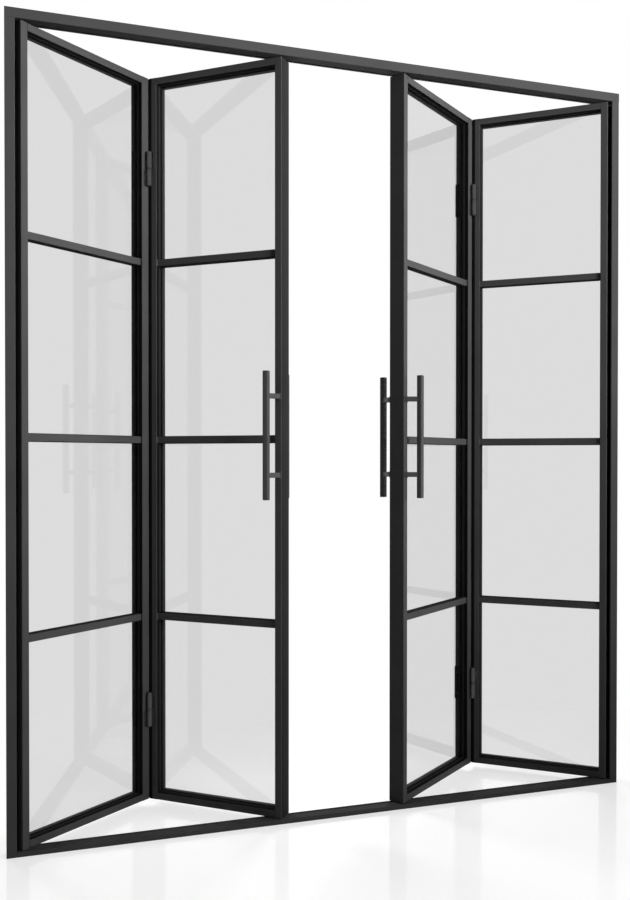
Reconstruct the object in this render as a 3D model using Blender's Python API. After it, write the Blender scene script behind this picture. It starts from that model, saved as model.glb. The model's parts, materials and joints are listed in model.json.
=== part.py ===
"""Folding door: four glazed leaves in two folding pairs, in a slim dark metal frame.

Metres, +Z up. X runs along the door's width and +Y points to the side that the pairs fold to.
The origin is the middle of the sill's underside, halfway through the frame's depth.
"""
import math

import bmesh
import bpy
from mathutils import Matrix, Vector

MM = 0.001

# Outer frame
DOOR_HEIGHT = 2100 * MM
DOOR_WIDTH = 1742 * MM
HEAD_FACE = 25 * MM
JAMB_FACE = 24 * MM
SILL_HEIGHT = 12 * MM
# The jamb is relieved behind its front flange, so that the heel of the leaf can turn
JAMB_FLANGE_DEPTH = 6 * MM
JAMB_WEB = 3.5 * MM
# A track runs along the back of the head and of the sill, with a thin lip behind it
TRACK_SETBACK = 34 * MM
TRACK_WIDTH = 9 * MM
TRACK_LIP = 3.5 * MM
HEAD_TRACK_DEPTH = 12 * MM
SILL_TRACK_DEPTH = 5 * MM

# Leaves
LEAF_THICKNESS = 47.5 * MM
# The stiles at the folds are wider than those at the jambs and at the meeting
OUTER_STILE_FACE = 20 * MM
FOLD_STILE_FACE = 24.5 * MM
RAIL_FACE = 19 * MM
BAR_FACE = 19 * MM
# The bars stand back from both faces of the leaf
BAR_FRONT_SETBACK = 6 * MM
BAR_BACK_SETBACK = 12 * MM
BARS_PER_LEAF = 3
# The top and the bottom pane are this much taller than the panes between the bars
END_PANE_EXTRA = 10 * MM
LEAF_TOP_GAP = 2.5 * MM
LEAF_BOTTOM_GAP = 2 * MM
# Width that the four closed leaves leave free between the jambs
CLOSING_CLEARANCE = 20 * MM
# How the leaves stand: folded part of the way, corner to corner
FOLD_ANGLE = math.radians(38.4)
CORNER_INSET = 14 * MM
CORNER_SETBACK = 3 * MM
FOLD_GAP = 1 * MM

# Glass and the pocket that holds its edge
GLASS_THICKNESS = 5 * MM
GLASS_SETBACK = 21 * MM
POCKET_DEPTH = 6 * MM

# Pull handles
HANDLE_HEIGHT = 1052 * MM
HANDLE_LENGTH = 346 * MM
HANDLE_BAR = 15 * MM
HANDLE_POST = 14 * MM
HANDLE_POST_SPACING = 213 * MM
HANDLE_STANDOFF = 38 * MM
HANDLE_OFFSET = 17 * MM

# Lift-off hinges at the folds
HINGE_HEIGHT = 100 * MM
HINGE_END_DISTANCE = 259 * MM
KNUCKLE_DIAMETER = 16 * MM
HINGE_PLATE = 3 * MM
HINGE_PLATE_WIDTH = 18 * MM

# Pivots at the jambs and guides at the meeting stiles
PIN_DIAMETER = 6 * MM
PIN_INSET = 9 * MM
PIN_SOCKET = 20 * MM
ROLLER_CLEARANCE = 0.4 * MM

# Fits
SEAT_GAP = 0.3 * MM
ARRIS = 1 * MM
ROUND_SIDES = 20

# Sizes that follow from the ones above
FRAME_DEPTH = TRACK_SETBACK + TRACK_WIDTH / 2 + TRACK_LIP
LEAF_WIDTH = (DOOR_WIDTH - 2 * JAMB_FACE - CLOSING_CLEARANCE) / 4
HEAD_UNDERSIDE = DOOR_HEIGHT - HEAD_FACE
LEAF_BOTTOM = SILL_HEIGHT + LEAF_BOTTOM_GAP
LEAF_TOP = HEAD_UNDERSIDE - LEAF_TOP_GAP
LEAF_HEIGHT = LEAF_TOP - LEAF_BOTTOM
FRONT = -FRAME_DEPTH / 2
BACK = FRAME_DEPTH / 2
TRACK_Y = FRONT + TRACK_SETBACK
GLASS_BACK = GLASS_SETBACK + GLASS_THICKNESS
GLAZED_HEIGHT = LEAF_HEIGHT - 2 * RAIL_FACE - BARS_PER_LEAF * BAR_FACE
PANE_HEIGHT = (GLAZED_HEIGHT - 2 * END_PANE_EXTRA) / (BARS_PER_LEAF + 1)
POCKET_FRONT = GLASS_SETBACK - SEAT_GAP
POCKET_BACK = GLASS_BACK + SEAT_GAP
WEB_HALF = BAR_FACE / 2 - POCKET_DEPTH
CORNER_X = DOOR_WIDTH / 2 - JAMB_FACE - CORNER_INSET
CORNER_Y = FRONT + CORNER_SETBACK
PAIR_SPAN = 2 * LEAF_WIDTH * math.cos(FOLD_ANGLE) + FOLD_GAP
# Depth of the pins in the leaf, which puts them on the line of the tracks
PIN_SETBACK = (TRACK_Y - CORNER_Y - PIN_INSET * math.sin(FOLD_ANGLE)) / math.cos(FOLD_ANGLE)


def clear_scene():
    for obj in list(bpy.data.objects):
        bpy.data.objects.remove(obj, do_unlink=True)


def make_material(name, colour, metallic, roughness, transmission=0.0):
    material = bpy.data.materials.new(name)
    material.use_nodes = True
    shader = material.node_tree.nodes["Principled BSDF"]
    shader.inputs["Base Color"].default_value = (*colour, 1.0)
    shader.inputs["Metallic"].default_value = metallic
    shader.inputs["Roughness"].default_value = roughness
    shader.inputs["Transmission Weight"].default_value = transmission
    return material


def metal():
    return make_material("black_powder_coat", (0.022, 0.022, 0.024), 0.0, 0.42)


def hardware_metal():
    return make_material("black_hardware", (0.018, 0.018, 0.02), 0.6, 0.35)


def glass():
    return make_material("clear_glass", (0.93, 0.96, 0.95), 0.0, 0.02, 1.0)


def finish(name, bm, material, parent=None):
    """Turn a bmesh into a named object with its faces pointing out."""
    bmesh.ops.recalc_face_normals(bm, faces=bm.faces)
    if bm.calc_volume(signed=True) < 0:
        bmesh.ops.reverse_faces(bm, faces=bm.faces)
    mesh = bpy.data.meshes.new(name)
    bm.to_mesh(mesh)
    bm.free()
    mesh.materials.append(material)
    obj = bpy.data.objects.new(name, mesh)
    bpy.context.collection.objects.link(obj)
    if parent is not None:
        obj.parent = parent
    return obj


def prism(outline, place, start, end):
    """Extrude an outline of (a, b) pairs from start to end.

    place(a, b, c) gives the 3D point of a profile point (a, b) at the distance c.
    """
    bm = bmesh.new()
    first = [bm.verts.new(place(a, b, start)) for a, b in outline]
    last = [bm.verts.new(place(a, b, end)) for a, b in outline]
    bm.faces.new(first)
    bm.faces.new(list(reversed(last)))
    count = len(outline)
    for i in range(count):
        j = (i + 1) % count
        bm.faces.new((first[i], last[i], last[j], first[j]))
    return bm


def eased(outline, corners, size=ARRIS):
    """Cut the named corners of an outline by a small flat arris."""
    result = []
    count = len(outline)
    for i, point in enumerate(outline):
        if i not in corners:
            result.append(point)
            continue
        here = Vector(point)
        for other in (outline[i - 1], outline[(i + 1) % count]):
            step = (Vector(other) - here).normalized() * size
            result.append(tuple(here + step))
    return result


def along_x(a, b, c):
    return (c, a, b)


def along_y(a, b, c):
    return (a, c, b)


def along_z(a, b, c):
    return (a, b, c)


def rectangle(a0, a1, b0, b1):
    return [(a0, b0), (a1, b0), (a1, b1), (a0, b1)]


def turned(profile, centre):
    """Turn a profile of (radius, z) pairs, which starts and ends on the axis."""
    bm = bmesh.new()
    rings = []
    for radius, z in profile:
        if radius == 0:
            rings.append([bm.verts.new((centre[0], centre[1], z))])
            continue
        ring = []
        for k in range(ROUND_SIDES):
            turn = 2 * math.pi * k / ROUND_SIDES
            x = centre[0] + radius * math.cos(turn)
            y = centre[1] + radius * math.sin(turn)
            ring.append(bm.verts.new((x, y, z)))
        rings.append(ring)
    for low, high in zip(rings, rings[1:]):
        for k in range(ROUND_SIDES):
            n = (k + 1) % ROUND_SIDES
            if len(low) == 1:
                bm.faces.new((low[0], high[k], high[n]))
            elif len(high) == 1:
                bm.faces.new((low[k], low[n], high[0]))
            else:
                bm.faces.new((low[k], low[n], high[n], high[k]))
    return bm


def cut(obj, cutter, operation="DIFFERENCE"):
    """Cut or join obj with a helper body, which is removed afterwards."""
    modifier = obj.modifiers.new("boolean", "BOOLEAN")
    modifier.operation = operation
    modifier.solver = "EXACT"
    modifier.object = cutter
    bpy.context.view_layer.update()
    shape = obj.evaluated_get(bpy.context.evaluated_depsgraph_get())
    mesh = bpy.data.meshes.new_from_object(shape)
    obj.modifiers.remove(modifier)
    old = obj.data
    obj.data = mesh
    mesh.name = obj.name
    bpy.data.meshes.remove(old)
    bpy.data.objects.remove(cutter, do_unlink=True)


def helper(bm, material, parent=None):
    """A body that is only used to cut or to join."""
    obj = finish("helper", bm, material, parent)
    obj.hide_render = True
    obj.display_type = "WIRE"
    return obj


def build_frame(material):
    """Head and sill with their tracks, and the two jambs."""
    half = DOOR_WIDTH / 2
    near, far = TRACK_Y - TRACK_WIDTH / 2, TRACK_Y + TRACK_WIDTH / 2
    ceiling = HEAD_UNDERSIDE + HEAD_TRACK_DEPTH
    head = [(FRONT, HEAD_UNDERSIDE), (near, HEAD_UNDERSIDE), (near, ceiling), (far, ceiling),
            (far, HEAD_UNDERSIDE), (BACK, HEAD_UNDERSIDE), (BACK, DOOR_HEIGHT), (FRONT, DOOR_HEIGHT)]
    finish("frame_head", prism(eased(head, (0, 5, 6, 7)), along_x, -half, half), material)

    floor = SILL_HEIGHT - SILL_TRACK_DEPTH
    sill = [(FRONT, 0), (BACK, 0), (BACK, SILL_HEIGHT), (far, SILL_HEIGHT), (far, floor),
            (near, floor), (near, SILL_HEIGHT), (FRONT, SILL_HEIGHT)]
    reach = half - JAMB_FACE - SEAT_GAP
    finish("frame_sill", prism(eased(sill, (2, 7)), along_x, -reach, reach), material)

    shoulder = FRONT + JAMB_FLANGE_DEPTH
    jamb = [(half, FRONT), (half, BACK), (half - JAMB_WEB, BACK), (half - JAMB_WEB, shoulder),
            (half - JAMB_FACE, shoulder), (half - JAMB_FACE, FRONT)]
    top = HEAD_UNDERSIDE - SEAT_GAP
    for side, sign in (("left", -1), ("right", 1)):
        outline = [(sign * x, y) for x, y in eased(jamb, (0, 5))]
        finish(f"frame_jamb_{side}", prism(outline, along_z, 0, top), material)


def member_section(face):
    """Section of a stile or rail: (distance in from the outer edge, distance back)."""
    pocket_floor = face - POCKET_DEPTH
    section = [(0, 0), (face, 0), (face, POCKET_FRONT), (pocket_floor, POCKET_FRONT),
               (pocket_floor, POCKET_BACK), (face, POCKET_BACK), (face, LEAF_THICKNESS),
               (0, LEAF_THICKNESS)]
    return eased(section, (0, 1, 6, 7))


def bar_section():
    """Section of a glazing bar, an H around its web: (height from its middle, distance back)."""
    high = BAR_FACE / 2
    front, back = BAR_FRONT_SETBACK, LEAF_THICKNESS - BAR_BACK_SETBACK
    upper = [(high, front), (high, POCKET_FRONT), (WEB_HALF, POCKET_FRONT), (WEB_HALF, POCKET_BACK),
             (high, POCKET_BACK), (high, back)]
    lower = [(-z, y) for z, y in reversed(upper)]
    return eased(upper + lower, (0, 5, 6, 11))


def bar_heights():
    step = PANE_HEIGHT + BAR_FACE
    first = LEAF_BOTTOM + RAIL_FACE + END_PANE_EXTRA + PANE_HEIGHT + BAR_FACE / 2
    return [first + i * step for i in range(BARS_PER_LEAF)]


def build_glass(name, inner_left, inner_right, material, parent):
    """One sheet for a leaf, slotted at each bar, with narrow necks left in the stile pockets."""
    hidden = POCKET_DEPTH - SEAT_GAP
    low = LEAF_BOTTOM + RAIL_FACE - hidden
    high = LEAF_TOP - RAIL_FACE + hidden
    outline = rectangle(inner_left - hidden, inner_right + hidden, low, high)
    sheet = finish(name, prism(outline, along_y, GLASS_SETBACK, GLASS_BACK), material, parent)
    slot_half = WEB_HALF + SEAT_GAP
    for z in bar_heights():
        slot = rectangle(inner_left, inner_right, z - slot_half, z + slot_half)
        cutter = prism(slot, along_y, GLASS_SETBACK - ARRIS, GLASS_BACK + ARRIS)
        cut(sheet, helper(cutter, material, parent))


def cut_pin_sockets(stile, x, material, parent):
    """Blind holes for the pins, in the top and the bottom end of a stile."""
    radius = PIN_DIAMETER / 2 + SEAT_GAP
    bottom = (LEAF_BOTTOM - ARRIS, LEAF_BOTTOM + PIN_SOCKET)
    top = (LEAF_TOP - PIN_SOCKET, LEAF_TOP + ARRIS)
    for low, high in (bottom, top):
        socket = turned([(0, low), (radius, low), (radius, high), (0, high)], (x, PIN_SETBACK))
        cut(stile, helper(socket, material, parent))


def stile_face(role):
    return FOLD_STILE_FACE if role == "fold" else OUTER_STILE_FACE


def build_leaf(name, left_role, right_role, left_pin, corner, turn, materials):
    """One leaf, on an empty at its lower left front corner that is turned by the fold."""
    body, clear = materials
    empty = bpy.data.objects.new(f"{name}_place", None)
    bpy.context.collection.objects.link(empty)
    empty.location = (corner[0], corner[1], 0)
    empty.rotation_euler = (0, 0, turn)

    for role, is_left in ((left_role, True), (right_role, False)):
        outline = member_section(stile_face(role))
        if not is_left:
            outline = [(LEAF_WIDTH - s, d) for s, d in outline]
        bar = prism(outline, along_z, LEAF_BOTTOM, LEAF_TOP)
        stile = finish(f"{name}_{role}_stile", bar, body, empty)
        if is_left == left_pin:
            cut_pin_sockets(stile, PIN_INSET if is_left else LEAF_WIDTH - PIN_INSET, body, empty)

    inner_left = stile_face(left_role)
    inner_right = LEAF_WIDTH - stile_face(right_role)
    start, end = inner_left + SEAT_GAP, inner_right - SEAT_GAP
    rail = member_section(RAIL_FACE)
    bottom = [(d, LEAF_BOTTOM + s) for s, d in rail]
    top = [(d, LEAF_TOP - s) for s, d in rail]
    finish(f"{name}_bottom_rail", prism(bottom, along_x, start, end), body, empty)
    finish(f"{name}_top_rail", prism(top, along_x, start, end), body, empty)

    for label, z in zip(("low", "middle", "high"), bar_heights()):
        outline = [(d, z + s) for s, d in bar_section()]
        finish(f"{name}_bar_{label}", prism(outline, along_x, start, end), body, empty)
    build_glass(f"{name}_glass", inner_left, inner_right, clear, empty)
    return empty


def build_handle(name, leaf, at_left, behind, material):
    """A square pull bar on two cranked posts, on the front or the back of a meeting stile."""
    if behind:
        seat, outward = LEAF_THICKNESS, 1
    else:
        seat, outward = 0, -1
    inward = 1 if at_left else -1
    edge = 0 if at_left else LEAF_WIDTH
    foot = edge + inward * OUTER_STILE_FACE / 2
    middle = foot + inward * HANDLE_OFFSET
    bar_depth = seat + outward * HANDLE_STANDOFF
    half = HANDLE_BAR / 2
    low = HANDLE_HEIGHT - HANDLE_LENGTH / 2
    outline = eased(rectangle(middle - half, middle + half, bar_depth - half, bar_depth + half),
                    (0, 1, 2, 3))
    bar = finish(name, prism(outline, along_z, low, low + HANDLE_LENGTH), material, leaf)
    post_half = HANDLE_POST / 2
    start = seat + outward * SEAT_GAP
    for side in (-1, 1):
        z = HANDLE_HEIGHT + side * HANDLE_POST_SPACING / 2
        post = [(foot - post_half, start), (foot + post_half, start),
                (middle + post_half - ARRIS, bar_depth), (middle - post_half + ARRIS, bar_depth)]
        cut(bar, helper(prism(post, along_z, z - post_half, z + post_half), material, leaf), "UNION")


def build_hinge(side, level, z, leaves, material):
    """A lift-off hinge: each half is a barrel and a plate on the face of its fold stile."""
    radius = KNUCKLE_DIAMETER / 2
    # The barrel lies in the valley of the fold, against both faces
    out = radius + SEAT_GAP
    along = out * math.tan(FOLD_ANGLE) - FOLD_GAP / 2 / math.cos(FOLD_ANGLE)
    lower = (z - HINGE_HEIGHT / 2, z - SEAT_GAP / 2)
    upper = (z + SEAT_GAP / 2, z + HINGE_HEIGHT / 2)
    for leaf, at_right, (low, high) in ((leaves[0], True, lower), (leaves[1], False, upper)):
        inward = -1 if at_right else 1
        edge = LEAF_WIDTH if at_right else 0
        near, far = edge + inward * along, edge + inward * HINGE_PLATE_WIDTH
        profile = [(0, low), (radius, low), (radius, high), (0, high)]
        leaf_name = leaf.name.removesuffix("_place")
        barrel = finish(f"hinge_{side}_{level}_{leaf_name}", turned(profile, (near, -out)), material, leaf)
        plate = rectangle(min(near, far), max(near, far), -SEAT_GAP - HINGE_PLATE, -SEAT_GAP)
        cut(barrel, helper(prism(plate, along_z, low, high), material, leaf), "UNION")


def build_pins(name, leaf, at_left, material):
    """Top and bottom pins that carry the end of a leaf in the tracks of head and sill."""
    x = PIN_INSET if at_left else LEAF_WIDTH - PIN_INSET
    pin = PIN_DIAMETER / 2
    roller = TRACK_WIDTH / 2 - ROLLER_CLEARANCE
    for level, leaf_end, mouth, track_depth, way in (
            ("top", LEAF_TOP, HEAD_UNDERSIDE, HEAD_TRACK_DEPTH, 1),
            ("bottom", LEAF_BOTTOM, SILL_HEIGHT, SILL_TRACK_DEPTH, -1)):
        tip = leaf_end - way * (PIN_SOCKET - SEAT_GAP)
        shoulder = mouth + way * ARRIS
        end = mouth + way * (track_depth - SEAT_GAP)
        profile = [(0, tip), (pin, tip), (pin, shoulder), (roller, shoulder), (roller, end), (0, end)]
        finish(f"{name}_{level}", turned(profile, (x, PIN_SETBACK)), material, leaf)


def build_door():
    """The frame, the four leaves from left to right, and the hardware on them."""
    frame_metal, hardware, clear = metal(), hardware_metal(), glass()
    build_frame(frame_metal)
    run = LEAF_WIDTH * math.cos(FOLD_ANGLE)
    rise = LEAF_WIDTH * math.sin(FOLD_ANGLE)
    # Left stile, right stile, whether the pins are at the left, corner in x and back, turn
    layout = (("jamb", "fold", True, -CORNER_X, 0, FOLD_ANGLE),
              ("fold", "meeting", False, -CORNER_X + run + FOLD_GAP, rise, -FOLD_ANGLE),
              ("meeting", "fold", True, CORNER_X - PAIR_SPAN, 0, FOLD_ANGLE),
              ("fold", "jamb", False, CORNER_X - run, rise, -FOLD_ANGLE))
    leaves = []
    for number, (left_role, right_role, left_pin, x, back, turn) in enumerate(layout, start=1):
        leaves.append(build_leaf(f"leaf_{number}", left_role, right_role, left_pin,
                                 (x, CORNER_Y + back), turn, (frame_metal, clear)))
    bpy.context.view_layer.update()

    for number, at_left in ((2, False), (3, True)):
        for place, behind in (("front", False), ("back", True)):
            name = f"leaf_{number}_handle_{place}"
            build_handle(name, leaves[number - 1], at_left, behind, hardware)
    hinge_heights = (("lower", LEAF_BOTTOM + HINGE_END_DISTANCE),
                     ("upper", LEAF_TOP - HINGE_END_DISTANCE))
    for side, pair in (("left", leaves[:2]), ("right", leaves[2:])):
        for level, z in hinge_heights:
            build_hinge(side, level, z, pair, hardware)
    for name, leaf, at_left in (("pivot_left", leaves[0], True), ("guide_left", leaves[1], False),
                                ("guide_right", leaves[2], True), ("pivot_right", leaves[3], False)):
        build_pins(name, leaf, at_left, hardware)


clear_scene()
build_door()
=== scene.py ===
"""Looks of the folding door: finishes, glazing, pulls, hinges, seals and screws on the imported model.

Metres, +Z up. A place on a leaf is given as (s, d, z): s runs along the leaf's width to the right,
d runs back through its thickness, and z is the height.
"""
import json
import math

import bmesh
import bpy
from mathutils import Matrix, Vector

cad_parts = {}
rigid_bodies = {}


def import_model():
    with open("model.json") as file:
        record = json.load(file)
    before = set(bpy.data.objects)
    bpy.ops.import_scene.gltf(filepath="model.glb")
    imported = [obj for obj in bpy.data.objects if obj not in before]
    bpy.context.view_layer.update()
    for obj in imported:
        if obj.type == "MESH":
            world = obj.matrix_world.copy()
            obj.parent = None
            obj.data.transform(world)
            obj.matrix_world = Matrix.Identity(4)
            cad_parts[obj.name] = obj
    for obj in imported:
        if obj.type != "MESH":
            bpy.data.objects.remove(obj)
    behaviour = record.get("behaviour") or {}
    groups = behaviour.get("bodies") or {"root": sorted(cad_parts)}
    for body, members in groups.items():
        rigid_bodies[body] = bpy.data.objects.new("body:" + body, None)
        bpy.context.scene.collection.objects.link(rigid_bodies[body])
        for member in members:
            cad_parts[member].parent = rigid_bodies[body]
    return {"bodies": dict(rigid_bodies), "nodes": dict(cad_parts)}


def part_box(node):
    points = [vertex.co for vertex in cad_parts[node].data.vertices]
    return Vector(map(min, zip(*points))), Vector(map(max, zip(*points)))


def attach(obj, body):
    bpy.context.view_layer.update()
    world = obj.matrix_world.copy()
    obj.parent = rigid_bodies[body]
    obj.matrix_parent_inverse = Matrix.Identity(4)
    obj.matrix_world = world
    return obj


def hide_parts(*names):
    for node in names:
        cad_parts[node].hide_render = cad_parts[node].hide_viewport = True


bl_info = {
    "name": "Folding Door Looks",
    "version": (1, 0, 0),
    "blender": (4, 5, 0),
    "location": "View3D > Sidebar > Folding Door",
    "description": "Finishes, glazing, pulls, hinges, seals, screws and the stage of a folding door",
    "category": "Object",
}

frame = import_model()
NODES = frame["nodes"]
MM = 0.001
WHITE = (1.0, 1.0, 1.0, 1.0)
# Height in pixels of the picture that the camera is fitted to
PHOTO_HEIGHT = 900

# Left stile and right stile of each leaf, from left to right
LEAF_STILES = {1: ("jamb", "fold"), 2: ("fold", "meeting"), 3: ("meeting", "fold"), 4: ("fold", "jamb")}
BARS = ("low", "middle", "high")
# Faces that meet at more than this angle keep a hard edge between them
SHARP_ANGLE = math.radians(35)
# A rounded corner takes up no more than this share of a side
LONGEST_CUT = 0.45
# Places closer together than this are taken as one
TINY = 0.01 * MM


def clear_leftovers():
    """Remove what a new Blender file brings along."""
    kept = set(NODES.values()) | set(frame["bodies"].values())
    for obj in list(bpy.data.objects):
        if obj not in kept:
            bpy.data.objects.remove(obj, do_unlink=True)


clear_leftovers()
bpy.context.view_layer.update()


# Places on the door

class Leaf:
    """The directions of a leaf and the spans of its parts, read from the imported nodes."""

    def __init__(self, number):
        self.name = f"leaf_{number}"
        self.left, self.right = LEAF_STILES[number]
        panes = NODES[f"{self.name}_glass"].data
        largest = max(panes.polygons, key=lambda face: face.area)
        normal = largest.normal.copy()
        self.back = normal if normal.y > 0 else -normal
        self.along = Vector((self.back.y, -self.back.x, 0))
        self.glass_front, self.glass_rear = self.span(f"{self.name}_glass", self.back)
        self.front, self.rear = self.span(f"{self.name}_{self.left}_stile", self.back)

    def span(self, node, direction):
        """The least and the greatest reach of a node along a direction."""
        reach = [vertex.co.dot(direction) for vertex in NODES[node].data.vertices]
        return min(reach), max(reach)

    def point(self, s, d, z):
        """The 3D point of a place on the leaf."""
        return self.along * s + self.back * d + Vector((0, 0, z))

    def stile_span(self, role):
        """The s of the two sides of a stile."""
        return self.span(f"{self.name}_{role}_stile", self.along)

    def openings(self):
        """The four glazed openings from bottom to top, as (s low, s high, z low, z high)."""
        left = self.stile_span(self.left)[1]
        right = self.stile_span(self.right)[0]
        members = ["bottom_rail", *[f"bar_{label}" for label in BARS], "top_rail"]
        boxes = [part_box(f"{self.name}_{member}") for member in members]
        return [(left, right, low[1].z, high[0].z) for low, high in zip(boxes, boxes[1:])]

    def is_bar_side(self, z):
        """Whether an opening's upper or lower side at this height belongs to a glazing bar."""
        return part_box(f"{self.name}_bar_low")[0].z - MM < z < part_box(f"{self.name}_bar_high")[1].z + MM


def all_leaves():
    """The four leaves from left to right."""
    return [Leaf(number) for number in LEAF_STILES]


def jamb_web(side):
    """The x of a jamb's inner face, behind its flange."""
    vertices = NODES[f"frame_jamb_{side}"].data.vertices
    rear = max(vertex.co.y for vertex in vertices)
    found = [vertex.co.x for vertex in vertices if vertex.co.y > rear - TINY]
    return max(found) if side == "left" else min(found)


# Mesh work

def rounded(outline, radius, steps=3):
    """Round the corners of a closed outline of 2D points."""
    points = []
    for i, point in enumerate(outline):
        corner = Vector(point)
        before = Vector(outline[i - 1]) - corner
        after = Vector(outline[(i + 1) % len(outline)]) - corner
        start = corner + before.normalized() * min(radius, before.length * LONGEST_CUT)
        end = corner + after.normalized() * min(radius, after.length * LONGEST_CUT)
        for k in range(steps + 1):
            t = k / steps
            points.append(start.lerp(corner, t).lerp(corner.lerp(end, t), t))
    return points


def rectangle(half_a, half_b, radius, steps=3):
    """A rectangle with rounded corners round (0, 0)."""
    corners = [(-half_a, -half_b), (half_a, -half_b), (half_a, half_b), (-half_a, half_b)]
    return rounded(corners, radius, steps)


def circle(radius, sides):
    """The points of a circle round (0, 0)."""
    turns = [2 * math.pi * k / sides for k in range(sides)]
    return [Vector((radius * math.cos(turn), radius * math.sin(turn))) for turn in turns]


def hexagon(apothem, sides):
    """A hexagon drawn with as many points as a circle, so that the two can be joined."""
    points = []
    for k in range(sides):
        turn = 2 * math.pi * k / sides
        from_flat = (turn + math.pi / 6) % (math.pi / 3) - math.pi / 6
        reach = apothem / math.cos(from_flat)
        points.append(Vector((reach * math.cos(turn), reach * math.sin(turn))))
    return points


def loft(bm, rings, closed=False):
    """Join rings of points into a closed shell whose faces point out."""
    rows = [[bm.verts.new(point) for point in ring] for ring in rings]
    pairs = list(zip(rows, rows[1:]))
    if closed:
        pairs.append((rows[-1], rows[0]))
    faces = []
    count = len(rows[0])
    for low, high in pairs:
        for i in range(count):
            j = (i + 1) % count
            faces.append(bm.faces.new((low[i], low[j], high[j], high[i])))
    if not closed:
        faces.append(bm.faces.new(list(reversed(rows[0]))))
        faces.append(bm.faces.new(rows[-1]))
    for face in faces:
        face.normal_update()
    inside = rows[0][0].co.copy()
    volume = sum((face.verts[0].co - inside).dot(face.normal) * face.calc_area() for face in faces)
    if volume < 0:
        bmesh.ops.reverse_faces(bm, faces=faces)


def lathe(bm, profile, place, sides=48):
    """Turn (radius, height) pairs round an axis. place(a, b, c) gives the 3D point."""
    loft(bm, [[place(p.x, p.y, height) for p in circle(radius, sides)] for radius, height in profile])


def slab(bm, outline, place, low, high, ease):
    """Extrude an outline round (0, 0) from low to high, with an eased edge at high."""
    reach = max(point.length for point in outline)
    shrunk = [point * (1 - ease / reach) for point in outline]
    rings = ((outline, low), (outline, high - ease), (shrunk, high))
    loft(bm, [[place(p.x, p.y, c) for p in ring] for ring, c in rings])


# A screw head from its foot to its top, and its socket from there down to its floor.
# Each step is a share of the head's radius and a share of its height
SCREW_HEAD = ((1.0, -0.5), (1.0, 0.45), (0.93, 0.85), (0.8, 1.0))
SCREW_SOCKET = ((0.46, 1.0), (0.42, 0.9), (0.42, 0.15))
SCREW_SIDES = 24


def screw(bm, centre, out, radius, height):
    """A low round screw head with a hexagon socket, which stands on a face that looks along out."""
    side = Vector((0, 0, 1)).cross(out)

    def ring(points, lift):
        return [centre + side * p.x + Vector((0, 0, p.y)) + out * lift for p in points]

    rings = [ring(circle(radius * wide, SCREW_SIDES), height * up) for wide, up in SCREW_HEAD]
    rings += [ring(hexagon(radius * wide, SCREW_SIDES), height * up) for wide, up in SCREW_SOCKET]
    loft(bm, rings)


def piece(name, bm, material):
    """Turn a bmesh into a named piece of the door."""
    for face in bm.faces:
        face.smooth = True
    for edge in bm.edges:
        if len(edge.link_faces) == 2 and edge.calc_face_angle() > SHARP_ANGLE:
            edge.smooth = False
    mesh = bpy.data.meshes.new(name)
    bm.to_mesh(mesh)
    bm.free()
    mesh.materials.append(material)
    obj = bpy.data.objects.new(name, mesh)
    bpy.context.scene.collection.objects.link(obj)
    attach(obj, "root")
    return obj


# Shader work

COLOUR = "NodeSocketColor"
NUMBER = "NodeSocketFloat"
# A coat's tone is slow patches and, by this share, fine speckle
SPECKLE_SHARE = 0.3
# Up to this height, in metres, dust lies on every side, and by this much at the floor
DUSTY_HEIGHT = 0.25
DUST_AT_FLOOR = 0.35


def add_node(tree, kind, inputs=None, **attributes):
    """A shader node with its attributes and its unlinked inputs set."""
    item = tree.nodes.new(kind)
    for name, value in attributes.items():
        setattr(item, name, value)
    for name, value in (inputs or {}).items():
        item.inputs[name].default_value = value
    return item


def feed(tree, value, socket):
    """Give an input its value, which is another socket or a number."""
    if isinstance(value, bpy.types.NodeSocket):
        tree.links.new(value, socket)
    else:
        socket.default_value = value


def new_group(name, inputs, outputs):
    """An empty node group with its sockets, its input node and its output node."""
    tree = bpy.data.node_groups.new(name, "ShaderNodeTree")
    for label, kind in inputs:
        tree.interface.new_socket(label, in_out="INPUT", socket_type=kind)
    for label, kind in outputs:
        tree.interface.new_socket(label, in_out="OUTPUT", socket_type=kind)
    return tree, tree.nodes.new("NodeGroupInput"), tree.nodes.new("NodeGroupOutput")


def math_node(tree, operation, first, second):
    """A Math node whose two inputs are sockets or numbers."""
    item = add_node(tree, "ShaderNodeMath", operation=operation)
    feed(tree, first, item.inputs[0])
    feed(tree, second, item.inputs[1])
    return item.outputs["Value"]


def noise(tree, vector, scale, detail=2.0, roughness=0.5):
    """A noise of the given scale, which is a socket or a number."""
    item = add_node(tree, "ShaderNodeTexNoise", {"Detail": detail, "Roughness": roughness})
    feed(tree, vector, item.inputs["Vector"])
    feed(tree, scale, item.inputs["Scale"])
    return item.outputs["Fac"]


def object_place(tree):
    """The place on the object, in metres."""
    return add_node(tree, "ShaderNodeTexCoord").outputs["Object"]


def stretched(tree, vector, shares):
    """A vector whose three numbers are each multiplied by a share."""
    item = add_node(tree, "ShaderNodeVectorMath", operation="MULTIPLY")
    tree.links.new(vector, item.inputs[0])
    item.inputs[1].default_value = shares
    return item.outputs["Vector"]


def upward(tree, vector):
    """The Z of a vector."""
    item = add_node(tree, "ShaderNodeSeparateXYZ")
    tree.links.new(vector, item.inputs["Vector"])
    return item.outputs["Z"]


def map_range(tree, value, source, target):
    """Carry a value over from one span to another, and keep it inside that."""
    item = add_node(tree, "ShaderNodeMapRange", {
        "From Min": source[0], "From Max": source[1], "To Min": target[0], "To Max": target[1]})
    tree.links.new(value, item.inputs["Value"])
    return item.outputs["Result"]


def spread_round(tree, value, middle, spread):
    """Turn a noise into small changes round a middle value, over a width of spread."""
    centred = math_node(tree, "SUBTRACT", value, 0.5)
    return math_node(tree, "ADD", middle, math_node(tree, "MULTIPLY", centred, spread))


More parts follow.
